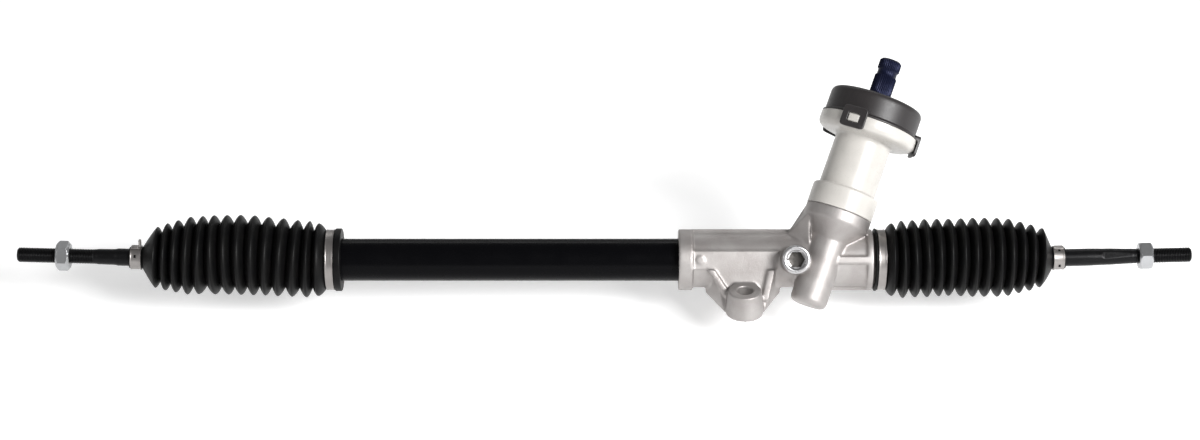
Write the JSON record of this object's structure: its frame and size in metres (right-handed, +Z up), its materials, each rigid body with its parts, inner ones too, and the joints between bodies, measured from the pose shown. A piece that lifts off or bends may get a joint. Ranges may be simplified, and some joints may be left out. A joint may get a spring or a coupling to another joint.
{
  "type": "steering rack",
  "caption": "Rack-and-pinion steering rack: black tube, cast aluminium gear housing with lug, tilted pinion under a white and grey dust cover, ribbed rubber boots and threaded tie rods.",
  "frame": {"origin": "centre of the mounting lug's lower seating face, on its bolt hole's axis", "axes": "+X along the rack bar towards the pinion end, +Z up the lug's bolt hole, +Y from the lug towards the bar and the tower's lean"},
  "size_m": [1.1075, 0.1748, 0.2138],
  "materials": {
    "cast_aluminium": "satin cast",
    "black_paint": "gloss",
    "black_steel": "black oxide",
    "steel": "ground",
    "bearing_steel": "polished",
    "zinc": "zinc plated",
    "stainless": "satin",
    "rubber": "matt",
    "white_plastic": "satin",
    "grey_plastic": "satin",
    "bearing_plastic": "matt",
    "blue_black_steel": "phosphated"
  },
  "bodies": {
    "housing": {"gear_housing": "cast_aluminium", "rack_tube": "black_paint", "rack_bush": "bearing_plastic", "bush_rings": "rubber", "needle_shell": "bearing_steel", "needles": "bearing_steel", "bearing_outer_race": "bearing_steel", "bearing_balls": "bearing_steel", "pinion_lock_ring": "steel", "pinion_oil_seal": "rubber", "port_plug": "zinc", "rack_guide": "steel", "rack_guide_liner": "bearing_plastic", "rack_guide_spring": "steel", "rack_guide_plug": "zinc", "rack_guide_locknut": "zinc", "dust_cover_tube": "white_plastic", "dust_cover_cap": "grey_plastic", "left_boot": "rubber", "right_boot": "rubber", "left_large_clamp": "stainless", "right_large_clamp": "stainless"},
    "rack": {"rack_bar": "steel", "left_ball_socket": "black_steel", "right_ball_socket": "black_steel", "left_ball_seat": "bearing_plastic", "right_ball_seat": "bearing_plastic"},
    "pinion": {"pinion_shaft": "blue_black_steel", "bearing_inner_race": "bearing_steel"},
    "left_tie_rod": {"left_tie_rod": "black_steel", "left_jam_nut": "zinc", "left_small_clamp": "stainless"},
    "right_tie_rod": {"right_tie_rod": "black_steel", "right_jam_nut": "zinc", "right_small_clamp": "stainless"}
  },
  "joints": [
    {"name": "rack_travel", "type": "slide", "parent": "housing", "child": "rack", "axis": [1, 0, 0], "range_m": [-0.07, 0.07], "deforming": ["left_boot", "right_boot"]},
    {"name": "pinion_turn", "type": "hinge", "parent": "housing", "child": "pinion", "pos_m": [0.0745, 0.03386, 0.03855], "axis": [0.3338, 0.5541, 0.7626], "range_deg": [-550, 550]},
    {"name": "left_ball_joint", "type": "hinge", "parent": "rack", "child": "left_tie_rod", "pos_m": [-0.485, 0.047, 0.029], "axis": [0, 1, 0], "range_deg": [-18, 18]},
    {"name": "right_ball_joint", "type": "hinge", "parent": "rack", "child": "right_tie_rod", "pos_m": [0.2233, 0.047, 0.029], "axis": [0, -1, 0], "range_deg": [-18, 18]}
  ],
  "couplings": [
    {"joint": "pinion_turn", "follows": "rack_travel", "rad_per_m": -136.05}
  ]
}
